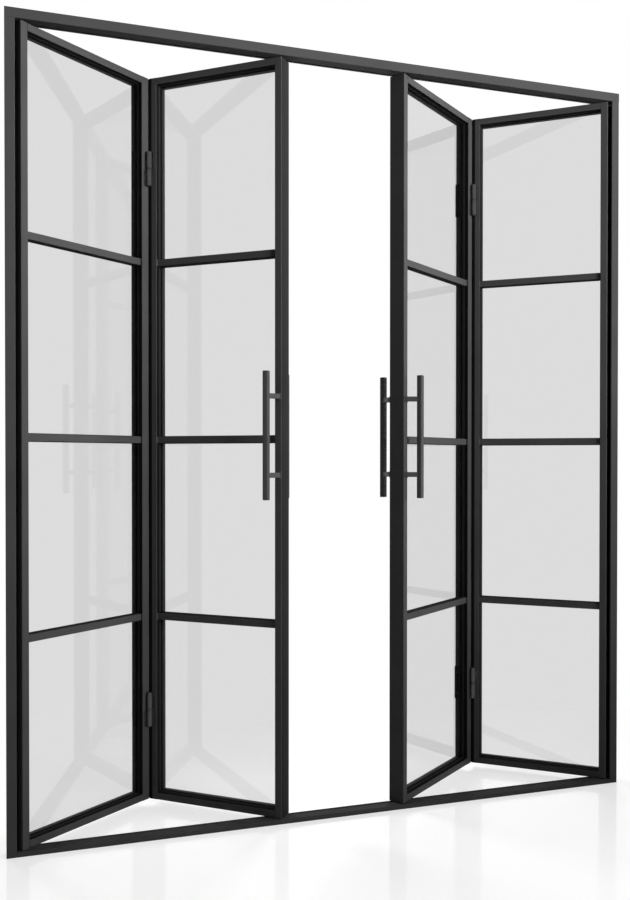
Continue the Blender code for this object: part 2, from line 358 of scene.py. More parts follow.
def scaled_colour(tree, colour, factor):
    """A colour made lighter or darker."""
    item = add_node(tree, "ShaderNodeVectorMath", operation="SCALE")
    tree.links.new(colour, item.inputs[0])
    tree.links.new(factor, item.inputs["Scale"])
    return item.outputs["Vector"]


def mix_shaders(tree, factor, first, second):
    """The first shader where the factor is 0, and the second where it is 1."""
    item = add_node(tree, "ShaderNodeMixShader")
    tree.links.new(factor, item.inputs["Fac"])
    tree.links.new(first, item.inputs[1])
    tree.links.new(second, item.inputs[2])
    return item.outputs["Shader"]


def seen_rays(tree):
    """1 for rays that show the stage directly, in a mirror or through glass, and 0 for all others."""
    rays = add_node(tree, "ShaderNodeLightPath")
    seen = math_node(tree, "MAXIMUM", rays.outputs["Is Camera Ray"], rays.outputs["Is Glossy Ray"])
    return math_node(tree, "MAXIMUM", seen, rays.outputs["Is Transmission Ray"])


def powder_group():
    """Powder coat: a fine orange peel, with slow changes of tone and gloss."""
    tree, given, made = new_group(
        "Powder Grain",
        [("Colour", COLOUR), ("Tone Spread", NUMBER), ("Grain Scale", NUMBER), ("Roughness", NUMBER),
         ("Roughness Spread", NUMBER)],
        [("Colour", COLOUR), ("Roughness", NUMBER), ("Height", NUMBER)])
    place = object_place(tree)
    patches = noise(tree, place, scale=7.0, detail=3.0)
    speckle = noise(tree, place, scale=2600.0, detail=1.0)
    grain = noise(tree, place, given.outputs["Grain Scale"], roughness=0.6)
    both = math_node(tree, "ADD", math_node(tree, "MULTIPLY", patches, 1 - SPECKLE_SHARE),
                     math_node(tree, "MULTIPLY", speckle, SPECKLE_SHARE))
    tone = spread_round(tree, both, 1.0, given.outputs["Tone Spread"])
    gloss = spread_round(tree, patches, given.outputs["Roughness"], given.outputs["Roughness Spread"])
    tree.links.new(scaled_colour(tree, given.outputs["Colour"], tone), made.inputs["Colour"])
    tree.links.new(gloss, made.inputs["Roughness"])
    tree.links.new(grain, made.inputs["Height"])
    return tree


def dust_group():
    """Dust that settles on what looks up, more of it close to the floor."""
    tree, given, made = new_group(
        "Settled Dust",
        [("Colour", COLOUR), ("Dust Colour", COLOUR), ("Amount", NUMBER), ("Roughness", NUMBER)],
        [("Colour", COLOUR), ("Roughness", NUMBER)])
    place = object_place(tree)
    normal = add_node(tree, "ShaderNodeNewGeometry").outputs["Normal"]
    looks_up = math_node(tree, "MAXIMUM", upward(tree, normal), 0.0)
    near_floor = map_range(tree, upward(tree, place), (0.0, DUSTY_HEIGHT), (DUST_AT_FLOOR, 0.0))
    reach = math_node(tree, "ADD", looks_up, near_floor)
    drift = noise(tree, place, scale=28.0, detail=4.0, roughness=0.65)
    mask = math_node(tree, "MULTIPLY", math_node(tree, "MULTIPLY", reach, drift), given.outputs["Amount"])
    mixed = add_node(tree, "ShaderNodeMix", data_type="RGBA")
    tree.links.new(mask, mixed.inputs["Factor"])
    tree.links.new(given.outputs["Colour"], mixed.inputs["A"])
    tree.links.new(given.outputs["Dust Colour"], mixed.inputs["B"])
    dulled = math_node(tree, "ADD", given.outputs["Roughness"], math_node(tree, "MULTIPLY", mask, 0.5))
    tree.links.new(mixed.outputs["Result"], made.inputs["Colour"])
    tree.links.new(dulled, made.inputs["Roughness"])
    return tree


def turned_group():
    """Fine rings that a lathe leaves round an upright part."""
    tree, given, made = new_group(
        "Turning Marks",
        [("Colour", COLOUR), ("Ring Scale", NUMBER), ("Roughness", NUMBER), ("Roughness Spread", NUMBER)],
        [("Colour", COLOUR), ("Roughness", NUMBER), ("Height", NUMBER)])
    # A noise that hardly changes sideways gives level rings
    place = stretched(tree, object_place(tree), (0.04, 0.04, 1.0))
    rings = noise(tree, place, given.outputs["Ring Scale"], detail=3.0, roughness=0.7)
    tone = spread_round(tree, rings, 1.0, 0.4)
    gloss = spread_round(tree, rings, given.outputs["Roughness"], given.outputs["Roughness Spread"])
    tree.links.new(scaled_colour(tree, given.outputs["Colour"], tone), made.inputs["Colour"])
    tree.links.new(gloss, made.inputs["Roughness"])
    tree.links.new(rings, made.inputs["Height"])
    return tree


def place_group(tree, name, build, values):
    """Put a node group into a material with the material's own values. It is built only once."""
    item = tree.nodes.new("ShaderNodeGroup")
    item.node_tree = bpy.data.node_groups.get(name) or build()
    for label, value in values.items():
        item.inputs[label].default_value = value
    return item


def new_material(name):
    """A new material with its node tree and its Principled shader."""
    material = bpy.data.materials.new(name)
    material.use_nodes = True
    return material, material.node_tree, material.node_tree.nodes["Principled BSDF"]


def link_surface(tree, shader, group):
    """Lead the colour and the roughness of a node group into the shader."""
    tree.links.new(group.outputs["Colour"], shader.inputs["Base Color"])
    tree.links.new(group.outputs["Roughness"], shader.inputs["Roughness"])


def bump(tree, shader, height, distance):
    """Raise the surface by a height from 0 to 1, times a distance."""
    item = add_node(tree, "ShaderNodeBump", {"Strength": 1.0, "Distance": distance})
    tree.links.new(height, item.inputs["Height"])
    tree.links.new(item.outputs["Normal"], shader.inputs["Normal"])


# Materials

def coated(name, look, tint, peel, dust, roughness, sheen):
    """Powder-coated metal with a little dust. peel is the depth of the orange peel."""
    material, tree, shader = new_material(name)
    coat = place_group(tree, "Powder Grain", powder_group, {
        "Colour": (*tint, 1.0), "Tone Spread": 0.5, "Grain Scale": look.grain_scale,
        "Roughness": roughness, "Roughness Spread": 0.12})
    settled = place_group(tree, "Settled Dust", dust_group, {
        "Dust Colour": (*look.dust_colour, 1.0), "Amount": dust})
    tree.links.new(coat.outputs["Colour"], settled.inputs["Colour"])
    tree.links.new(coat.outputs["Roughness"], settled.inputs["Roughness"])
    link_surface(tree, shader, settled)
    shader.inputs["Specular IOR Level"].default_value = sheen
    bump(tree, shader, coat.outputs["Height"], peel)
    return material


def turned_metal(name, tint, metallic, roughness, ring_scale, sheen=0.5):
    """Metal with turning marks, for washers, straps, pins and screws."""
    material, tree, shader = new_material(name)
    marks = place_group(tree, "Turning Marks", turned_group, {
        "Colour": (*tint, 1.0), "Ring Scale": ring_scale, "Roughness": roughness,
        "Roughness Spread": 0.25})
    link_surface(tree, shader, marks)
    shader.inputs["Metallic"].default_value = metallic
    shader.inputs["Specular IOR Level"].default_value = sheen
    bump(tree, shader, marks.outputs["Height"], 0.02 * MM)
    return material


def rubber(name, look):
    """Black rubber: dull, with a fine grain."""
    material, tree, shader = new_material(name)
    grain = place_group(tree, "Powder Grain", powder_group, {
        "Colour": (*look.rubber_colour, 1.0), "Tone Spread": 0.7, "Grain Scale": 1800.0,
        "Roughness": 0.62, "Roughness Spread": 0.2})
    link_surface(tree, shader, grain)
    shader.inputs["Specular IOR Level"].default_value = 0.01
    bump(tree, shader, grain.outputs["Height"], 0.04 * MM)
    return material


def clear_glass(look):
    """Clear float glass: faint waves, and a film of wiping marks that softens the gloss a little."""
    material, tree, shader = new_material("clear float glass")
    place = object_place(tree)
    # The wiping marks are longer upward than sideways
    film = noise(tree, stretched(tree, place, (1.0, 1.0, 0.35)), scale=9.0, detail=5.0, roughness=0.7)
    tree.links.new(map_range(tree, film, (0.45, 0.8), (0.0, 0.03)), shader.inputs["Roughness"])
    bump(tree, shader, noise(tree, place, scale=5.0, detail=1.0), 0.05 * MM)
    shader.inputs["Base Color"].default_value = (*look.glass_colour, 1.0)
    shader.inputs["Transmission Weight"].default_value = 1.0
    shader.inputs["IOR"].default_value = 1.5
    # Shadow rays pass straight through, so that the panes cast a light shadow
    shadow = add_node(tree, "ShaderNodeLightPath").outputs["Is Shadow Ray"]
    passing = add_node(tree, "ShaderNodeBsdfTransparent", {"Color": (*look.glass_colour, 1.0)})
    mixed = mix_shaders(tree, shadow, shader.outputs["BSDF"], passing.outputs["BSDF"])
    tree.links.new(mixed, tree.nodes["Material Output"].inputs["Surface"])
    return material


def shared_material(name, build, *values, **named_values):
    """The material of that name, built the first time that it is asked for."""
    return bpy.data.materials.get(name) or build(name, *values, **named_values)


def frame_coat(context):
    look = context.scene.door_finish
    return shared_material("frame powder coat", coated, look, look.frame_colour, peel=0.05 * MM,
                           dust=0.06, roughness=look.roughness, sheen=look.frame_sheen)


def leaf_coat(context):
    look = context.scene.door_finish
    return shared_material("leaf powder coat", coated, look, look.leaf_colour, peel=0.05 * MM,
                           dust=0.04, roughness=look.roughness, sheen=look.sheen)


def bead_coat(context):
    look = context.scene.door_finish
    return shared_material("bead coat", coated, look, look.bead_colour, peel=0.04 * MM,
                           dust=0.02, roughness=look.roughness, sheen=look.frame_sheen)


def pull_coat(context):
    look = context.scene.door_finish
    return shared_material("pull powder coat", coated, look, look.pull_colour, peel=0.04 * MM,
                           dust=0.03, roughness=look.roughness, sheen=look.pull_sheen)


def hinge_coat(context):
    look = context.scene.door_finish
    return shared_material("hinge coat", coated, look, look.hinge_colour, peel=0.02 * MM,
                           dust=0.02, roughness=look.hinge_roughness, sheen=look.hinge_sheen)


def screw_steel(context):
    look = context.scene.door_finish
    return shared_material("black screw steel", turned_metal, look.screw_colour, metallic=0.9,
                           roughness=0.38, ring_scale=900.0)


def blacked_steel(context):
    look = context.scene.door_finish
    return shared_material("blacked steel", turned_metal, look.strap_colour, metallic=0.0,
                           roughness=0.5, ring_scale=500.0, sheen=0.06)


def pin_steel(context):
    look = context.scene.door_finish
    return shared_material("pin steel", turned_metal, look.pin_colour, metallic=1.0,
                           roughness=0.32, ring_scale=700.0)


def seal_rubber(context):
    return shared_material("glazing rubber", rubber, context.scene.door_finish)


def paint_node(name, material):
    """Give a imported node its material."""
    for held in NODES[name].material_slots:
        held.material = material


# Settings

def length(name, description, default):
    """A setting in metres."""
    return bpy.props.FloatProperty(name=name, description=description, default=default, min=0.0,
                                   unit="LENGTH", subtype="DISTANCE", precision=5)


def colour(name, description, default):
    """A colour setting."""
    return bpy.props.FloatVectorProperty(name=name, description=description, default=default, size=3,
                                         min=0.0, max=1.0, subtype="COLOR")


def share(name, description, default, top=1.0):
    """A setting from 0 up to top."""
    return bpy.props.FloatProperty(name=name, description=description, default=default, min=0.0, max=top)


class DoorFinish(bpy.types.PropertyGroup):
    """Colours and surface of the metal, the rubber and the glass."""

    frame_colour: colour("Frame colour", "Powder coat of the fixed frame", (0.047, 0.047, 0.048))
    leaf_colour: colour("Leaf colour", "Powder coat of the leaves", (0.049, 0.049, 0.050))
    bead_colour: colour("Bead colour", "Coat of the glazing beads", (0.018, 0.018, 0.018))
    pull_colour: colour("Pull colour", "Coat of the pulls", (0.044, 0.044, 0.045))
    hinge_colour: colour("Hinge colour", "Coat of the hinges", (0.026, 0.026, 0.027))
    screw_colour: colour("Screw colour", "Blackened steel of the screws", (0.02, 0.02, 0.021))
    strap_colour: colour("Strap colour", "Blackened plates behind the glass", (0.008, 0.008, 0.008))
    pin_colour: colour("Pin colour", "Steel of pivots and guides", (0.11, 0.11, 0.115))
    rubber_colour: colour("Rubber colour", "Glazing rubber", (0.006, 0.006, 0.006))
    dust_colour: colour("Dust colour", "House dust on ledges", (0.34, 0.32, 0.29))
    glass_colour: colour("Glass colour", "Tint of the panes", (0.706, 0.706, 0.706))
    roughness: share("Roughness", "Gloss of the powder coat, 0 is a mirror", 0.4)
    sheen: share("Leaf sheen", "How much light the leaves reflect head on", 0.03)
    pull_sheen: share("Pull sheen", "How much light the pulls reflect head on", 0.22)
    frame_sheen: share("Frame sheen", "How much light the frame and the beads reflect head on", 0.004)
    hinge_roughness: share("Hinge roughness", "Gloss of the hinge barrels, 0 is a mirror", 0.2)
    hinge_sheen: share("Hinge sheen", "How much light the hinge barrels reflect head on", 0.5)
    grain_scale: share("Grain scale", "Bumps per metre in the powder coat", 850.0, 5000.0)


class DoorGlazing(bpy.types.PropertyGroup):
    """Sizes of the beads, the rubber and the black bands of painted shade round each pane."""

    bead_proud: length("Bead height", "How far a bead stands up from the frame at the glass", 1.3 * MM)
    bead_edge: length("Bead edge", "How far a bead stands up from the frame at its outer edge", 0.6 * MM)
    bead_depth: length("Bead depth", "Width of a bead, measured away from the glass", 7.0 * MM)
    rubber_proud: length("Rubber height", "How far the rubber stands up from the frame", 1.7 * MM)
    rubber_depth: length("Rubber depth", "Thickness of the rubber between bead and glass", 1.5 * MM)
    # The next two sizes are of the black bands that paint the shade in the reveals
    painted_reveal_shade_margin: length("Reveal shade margin", "Metal left bare between the leaf's face and the tape", 1.4 * MM)
    painted_reveal_shade_thickness: length("Reveal shade thickness", "Thickness of the black tape inside the openings", 0.35 * MM)


class DoorHardware(bpy.types.PropertyGroup):
    """Sizes of pulls, hinges and screws."""

    pull_bar: length("Pull bar", "Side of the square pull bar", 15 * MM)
    pull_post: length("Pull post", "Side of the square posts", 14 * MM)
    pull_post_spacing: length("Post spacing", "Distance between the middles of the posts", 213 * MM)
    foot_plate: length("Foot plate", "Thickness of the plate under each post", 1.6 * MM)
    hinge_diameter: length("Hinge diameter", "Diameter of the hinge barrels", 16 * MM)
    hinge_plate: length("Hinge plate", "Thickness of the plates on the fold stiles", 3 * MM)
    strap_height: length("Strap height", "Height of the plates behind the glass", 104 * MM)
    left_strap_depth: length("Left strap", "Width of the plates behind the first leaf's glass", 12.5 * MM)
    right_strap_depth: length("Right strap", "Width of the plates behind the third leaf's glass", 20.6 * MM)
    strap_thickness: length("Strap thickness", "Thickness of the plates behind the glass", 5.2 * MM)
    screw_radius: length("Screw radius", "Radius of the screw heads", 3.2 * MM)


class DoorSeals(bpy.types.PropertyGroup):
    """Sizes of the black seals at the folds and at the jambs, of the black lips of painted shade beside the
    folds, and of the dark band of painted shade on the meeting edge.
    """

    bulb_radius: length("Fold bulb", "Radius of the rubber bulb behind each fold", 4 * MM)
    # The next two sizes are of the black lip that paints the shade beside each fold
    fold_shade_width: length("Fold shade width", "Width of the rubber flap beside each fold", 9 * MM)
    fold_shade_thickness: length("Fold shade thickness", "Thickness of the rubber flap beside each fold", 0.9 * MM)
    jamb_squeeze: length("Jamb squeeze", "How far the bulbs at the jambs are pressed together", 0.6 * MM)
    # The next two sizes are of the dark band that paints the shade on the meeting edge
    edge_shade_margin: length("Edge shade margin", "Metal left bare beside the strip on the meeting edge", 2.2 * MM)
    edge_shade_thickness: length("Edge shade thickness", "Thickness of the strip on the meeting edge", 1.0 * MM)
    end_margin: length("End margin", "How far the seals stop short of a leaf's ends", 1.0 * MM)


class DoorStage(bpy.types.PropertyGroup):
    """Floor, light and camera."""

    floor_radius: length("Floor radius", "Radius of the round floor", 9.0)
    ambient: share("Ambient light", "Light that reaches the door from all round", 0.15, 4.0)
    lamp_share: share("Lamps", "Share of their full power at which all lamps burn", 1.0, 4.0)
    focal_pixels: share("Focal length", "Focal length in pixels of a picture that is 900 pixels tall",
                        903.3154, 5000.0)
    camera_place: bpy.props.FloatVectorProperty(
        name="Camera place", description="Where the camera stands", default=(-0.7141, -2.4069, 0.9927),
        size=3, unit="LENGTH", subtype="XYZ")
    camera_turn: bpy.props.FloatVectorProperty(
        name="Camera turn", description="Pitch, roll and yaw of the camera",
        default=(math.radians(90 - 0.5333), math.radians(-0.0467), math.radians(-17.8076)),
        size=3, unit="ROTATION", subtype="EULER")
    camera_shift: bpy.props.FloatVectorProperty(
        name="Camera shift", description="Shift of the lens, as shares of the picture's height",
        default=(-47.3623 / PHOTO_HEIGHT, 16.161 / PHOTO_HEIGHT), size=2)


# Pieces

# How far trim and seals reach into the metal that carries them, so that no seam shows
EMBED = 0.2 * MM
SEAL_EMBED = 0.3 * MM
# The gap between two parts that all but touch
HAIR_GAP = 0.05 * MM
BEAD_ROUNDING = 0.3 * MM
RUBBER_ROUNDING = 0.4 * MM
SEAL_ROUNDING = 0.3 * MM
EDGE_SHADE_ROUNDING = 0.4 * MM
HINGE_WASHER = 0.9 * MM
DOME_STEPS = 6
BULB_SIDES = 32
# The share of its radius that a bulb keeps when it is pressed into the fold
PRESSED_BULB = 0.97
# Where screws sit, as shares of the height of the part that they hold
HINGE_SCREW_RISES = (-0.28, 0.28)
STRAP_SCREW_RISES = (-0.32, 0.32)
JAMB_SCREW_HEIGHTS = (0.08, 0.36, 0.64, 0.92)
# The share of the way from a hinge plate's edge to the barrel's middle at which its screws sit
HINGE_SCREW_INSET = 0.26
# Radius of the other screws, as a share of the strap screws' radius
SET_SCREW_SHARE = 0.7
HINGE_SCREW_SHARE = 0.85
JAMB_SCREW_SHARE = 1.3


def is_coated_leaf_node(name):
    """Whether a node is metal of a leaf. The pulls have a coat of their own."""
    return name.startswith("leaf_") and "_glass" not in name and "_handle_" not in name


class FOLDINGDOOR_OT_coat_metal(bpy.types.Operator):
    """Give the frame, the leaves and the pins their metal finishes."""

    bl_idname = "folding_door.coat_metal"
    bl_label = "Coat the metalwork"

    def execute(self, context):
        for name in NODES:
            if name.startswith("frame_"):
                paint_node(name, frame_coat(context))
            elif is_coated_leaf_node(name):
                paint_node(name, leaf_coat(context))
            elif name.startswith(("pivot_", "guide_")):
                paint_node(name, pin_steel(context))
        return {"FINISHED"}


class FOLDINGDOOR_OT_glaze(bpy.types.Operator):
    """Make the panes of clear glass, and fit beads, rubber and black bands of painted shade round each of
    them.
    """

    bl_idname = "folding_door.glaze"
    bl_label = "Glaze the leaves"

    def sections(self, face, away, sizes):
        """The sections of bead and rubber on one face of the glass, as (height from the frame, depth)."""
        near = face + away * HAIR_GAP
        middle = face + away * sizes.rubber_depth
        far = middle + away * sizes.bead_depth
        bead = [(-EMBED, middle), (sizes.bead_proud, middle), (sizes.bead_edge, far), (-EMBED, far)]
        lip = [(-EMBED, near), (sizes.rubber_proud, near), (sizes.rubber_proud, middle), (-EMBED, middle)]
        return rounded(bead, BEAD_ROUNDING), rounded(lip, RUBBER_ROUNDING)

    def ring(self, bm, leaf, opening, section):
        """Run a section round an opening, with mitred corners."""
        left, right, low, high = opening
        corners = ((left, low, 1, 1), (right, low, -1, 1), (right, high, -1, -1), (left, high, 1, -1))
        loft(bm, [[leaf.point(s + way_s * p.x, p.y, z + way_z * p.x) for p in section]
                  for s, z, way_s, way_z in corners], closed=True)

    def painted_reveal_shade(self, leaf, sizes, context):
        """Black bands of painted shade on the sides of the openings, from near the leaf's face to the beads.
        """
        raised = sizes.painted_reveal_shade_thickness
        far = leaf.glass_front - sizes.rubber_depth - sizes.bead_depth
        near = leaf.front + sizes.painted_reveal_shade_margin
        near_bar = leaf.span(f"{leaf.name}_bar_low", leaf.back)[0] + sizes.painted_reveal_shade_margin

        def section(start):
            return [(-EMBED, start), (raised, start), (raised, far), (-EMBED, far)]

        bm = bmesh.new()
        for left, right, low, high in leaf.openings():
            for s, way in ((left, 1), (right, -1)):
                loft(bm, [[leaf.point(s + way * a, d, z) for a, d in section(near)] for z in (low, high)])
            for z, way in ((low, 1), (high, -1)):
                strip = section(near_bar if leaf.is_bar_side(z) else near)
                ends = (left + raised, right - raised)
                loft(bm, [[leaf.point(s, d, z + way * a) for a, d in strip] for s in ends])
        piece(f"{leaf.name}_opening_tape", bm, seal_rubber(context))

    def execute(self, context):
        sizes = context.scene.door_glazing
        glass = clear_glass(context.scene.door_finish)
        for leaf in all_leaves():
            paint_node(f"{leaf.name}_glass", glass)
            for side, face, away in (("front", leaf.glass_front, -1), ("rear", leaf.glass_rear, 1)):
                bead, lip = self.sections(face, away, sizes)
                beads, lips = bmesh.new(), bmesh.new()
                for opening in leaf.openings():
                    self.ring(beads, leaf, opening, bead)
                    self.ring(lips, leaf, opening, lip)
                piece(f"{leaf.name}_{side}_beads", beads, bead_coat(context))
                piece(f"{leaf.name}_{side}_rubber", lips, seal_rubber(context))
            # Painted shade: black bands in the reveals of each opening
            self.painted_reveal_shade(leaf, sizes, context)
        return {"FINISHED"}


class FOLDINGDOOR_OT_build_pulls(bpy.types.Operator):
    """Build the four square pulls with their posts, foot plates and set screws."""

    bl_idname = "folding_door.build_pulls"
    bl_label = "Build the pulls"

    def bar(self, bm, leaf, s, d, low, high, side):
        """A square bar with rounded edges and a capped end at the top and the bottom."""
        corner, ease = 1.6 * MM, 0.8 * MM
        cap, seam, seam_depth, slope = 3 * MM, 0.5 * MM, 0.4 * MM, 0.1 * MM
        # Distance from the end of the bar, and how far the outline draws in there
        end = ((0, ease), (ease, 0), (cap, 0), (cap + slope, seam_depth), (cap + seam, seam_depth),
               (cap + seam + slope, 0))
        steps = [(low + rise, inset) for rise, inset in end]
        steps += [(high - rise, inset) for rise, inset in reversed(end)]
        rings = []
        for z, inset in steps:
            outline = rectangle(side / 2 - inset, side / 2 - inset, corner)
            rings.append([leaf.point(s + p.x, d + p.y, z) for p in outline])
        loft(bm, rings)

    def post(self, bm, leaf, foot, middle, seat, bar_d, z, sizes):
        """A post that stands on a foot plate and leans over to the bar."""
        half = sizes.pull_post / 2
        out = 1 if bar_d > seat else -1
        plate_side, plate_end, plate_corner = 2 * MM, 3 * MM, 2 * MM
        plate = rectangle(half + plate_side, half + plate_end, plate_corner)
        slab(bm, plate, lambda a, b, c: leaf.point(foot + a, seat + out * c, z + b),
             low=0.0, high=sizes.foot_plate, ease=0.5 * MM)
        reach = abs(bar_d - seat)
        straight = 6 * MM
        # Distance from the leaf, and share of the way over from the foot to the bar
        steps = ((sizes.foot_plate * 0.5, 0.0), (straight * 0.6, 0.0), (straight, 0.04),
                 (reach * 0.5, 0.5), (reach - straight, 0.94), (reach, 1.0))
        outline = rectangle(half, half, 1.8 * MM)
        rings = []
        for rise, lean in steps:
            s = foot + (middle - foot) * lean
            rings.append([leaf.point(s + p.x, seat + out * rise, z + p.y) for p in outline])
        loft(bm, rings)

    def pull(self, leaf, meets_left, side, sizes, context):
        """A pull on one face of a meeting stile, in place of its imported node."""
        node = f"{leaf.name}_handle_{side}"
        s_low, s_high = leaf.span(node, leaf.along)
        d_low, d_high = leaf.span(node, leaf.back)
        low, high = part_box(node)
        half_bar, half_post = sizes.pull_bar / 2, sizes.pull_post / 2
        if meets_left:
            foot, middle, outward = s_low + half_post, s_high - half_bar, leaf.along
        else:
            foot, middle, outward = s_high - half_post, s_low + half_bar, -leaf.along
        if side == "front":
            seat, bar_d = leaf.front, d_low + half_bar
        else:
            seat, bar_d = leaf.rear, d_high - half_bar
        bm, screws = bmesh.new(), bmesh.new()
        self.bar(bm, leaf, middle, bar_d, low.z, high.z, sizes.pull_bar)
        for way in (-1, 1):
            z = (low.z + high.z) / 2 + way * sizes.pull_post_spacing / 2
            self.post(bm, leaf, foot, middle, seat, bar_d, z, sizes)
            centre = leaf.point(middle, bar_d, z) + outward * half_bar
            screw(screws, centre, outward, sizes.screw_radius * SET_SCREW_SHARE, height=0.5 * MM)
        made = piece(f"{leaf.name}_pull_{side}", bm, pull_coat(context))
        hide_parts(node)
        piece(f"{leaf.name}_pull_screws_{side}", screws, screw_steel(context))

    def execute(self, context):
        sizes = context.scene.door_hardware
        for leaf, meets_left in ((Leaf(2), False), (Leaf(3), True)):
            for side in ("front", "back"):
                self.pull(leaf, meets_left, side, sizes, context)
        return {"FINISHED"}


class FOLDINGDOOR_OT_build_hinges(bpy.types.Operator):
    """Build the lift-off hinges at the folds, and the screwed straps behind the glass."""

    bl_idname = "folding_door.build_hinges"
    bl_label = "Build the hinges"

    def barrel(self, radius, tall):
        """The (radius, height) pairs of half a barrel, from the washer to its domed end."""
        bevel, dome, neck = 0.7 * MM, 3.0 * MM, 0.5 * MM
        groove, groove_low, groove_high, slope = 0.35 * MM, 6.0 * MM, 6.8 * MM, 0.1 * MM
        shoulder = tall - dome
        profile = [(radius - bevel, HINGE_WASHER), (radius, HINGE_WASHER + bevel), (radius, groove_low),
                   (radius - groove, groove_low + slope), (radius - groove, groove_high - slope),
                   (radius, groove_high), (radius, shoulder - 1.2 * MM),
                   (radius - neck, shoulder - 0.9 * MM), (radius - neck, shoulder)]
        for k in range(1, DOME_STEPS):
            turn = math.pi / 2 * k / DOME_STEPS
            profile.append(((radius - neck) * math.cos(turn), shoulder + dome * math.sin(turn)))
        return profile

    def half_hinge(self, leaf, node, at_right, is_lower, sizes, context):
        """One barrel with a domed end, and its screwed plate on the fold stile."""
        radius = sizes.hinge_diameter / 2
        s_low, s_high = leaf.span(node, leaf.along)
        centre_d = leaf.span(node, leaf.back)[0] + radius
        centre_s, plate_s = (s_high - radius, s_low) if at_right else (s_low + radius, s_high)
        low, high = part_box(node)
        tall = high.z - low.z
        joint, way = (high.z, -1) if is_lower else (low.z, 1)
        bm = bmesh.new()
        lathe(bm, self.barrel(radius, tall),
              lambda a, b, c: leaf.point(centre_s + a, centre_d + b, joint + way * c))
        plate_stop, plate_corner = 2 * MM, 2.5 * MM
        outline = rectangle(abs(plate_s - centre_s) / 2, tall / 2 - plate_stop, plate_corner)
        middle_s, middle_z = (centre_s + plate_s) / 2, (low.z + high.z) / 2
        slab(bm, outline, lambda a, b, c: leaf.point(middle_s + a, leaf.front - c, middle_z + b),
             low=HAIR_GAP, high=sizes.hinge_plate, ease=0.4 * MM)
        hinge = piece(f"{node}_barrel", bm, hinge_coat(context))
        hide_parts(node)
        screws = bmesh.new()
        screw_s = plate_s + (centre_s - plate_s) * HINGE_SCREW_INSET
        for rise in HINGE_SCREW_RISES:
            centre = leaf.point(screw_s, leaf.front - sizes.hinge_plate, middle_z + rise * tall)
            screw(screws, centre, -leaf.back, sizes.screw_radius * HINGE_SCREW_SHARE, height=1.0 * MM)
        piece(f"{node}_screws", screws, screw_steel(context))
        return centre_s, centre_d, joint

    def strap(self, leaf, level, z, depth, sizes, context):
        """A plate on the inner side of the fold stile, behind the glass, held by two screws."""
        face = leaf.stile_span("fold")[0]
        gap, corner = 0.6 * MM, 2 * MM
        middle = leaf.glass_rear + gap + depth / 2
        bm = bmesh.new()
        outline = rectangle(depth / 2, sizes.strap_height / 2, corner)
        slab(bm, outline, lambda a, b, c: leaf.point(face - c, middle + a, z + b),
             low=-EMBED, high=sizes.strap_thickness, ease=0.6 * MM)
        piece(f"{leaf.name}_{level}_strap", bm, blacked_steel(context))
        screws = bmesh.new()
        for rise in STRAP_SCREW_RISES:
            centre = leaf.point(face - sizes.strap_thickness, middle, z + rise * sizes.strap_height)
            screw(screws, centre, -leaf.along, sizes.screw_radius, height=1.4 * MM)
        piece(f"{leaf.name}_{level}_strap_screws", screws, screw_steel(context))

    def execute(self, context):
        sizes = context.scene.door_hardware
        washer_radius = sizes.hinge_diameter / 2 - 1 * MM
        washer_profile = [(washer_radius, -0.6 * MM), (washer_radius, HINGE_WASHER)]
        for side, first, second, depth in (("left", Leaf(1), Leaf(2), sizes.left_strap_depth),
                                           ("right", Leaf(3), Leaf(4), sizes.right_strap_depth)):
            for level in ("lower", "upper"):
                name = f"hinge_{side}_{level}"
                s, d, z = self.half_hinge(first, f"{name}_{first.name}", True, True, sizes, context)
                self.half_hinge(second, f"{name}_{second.name}", False, False, sizes, context)
                washer = bmesh.new()
                lathe(washer, washer_profile, lambda a, b, c: first.point(s + a, d + b, z + c))
                piece(f"{name}_washer", washer, blacked_steel(context))
                self.strap(first, level, z, depth, sizes, context)
        return {"FINISHED"}


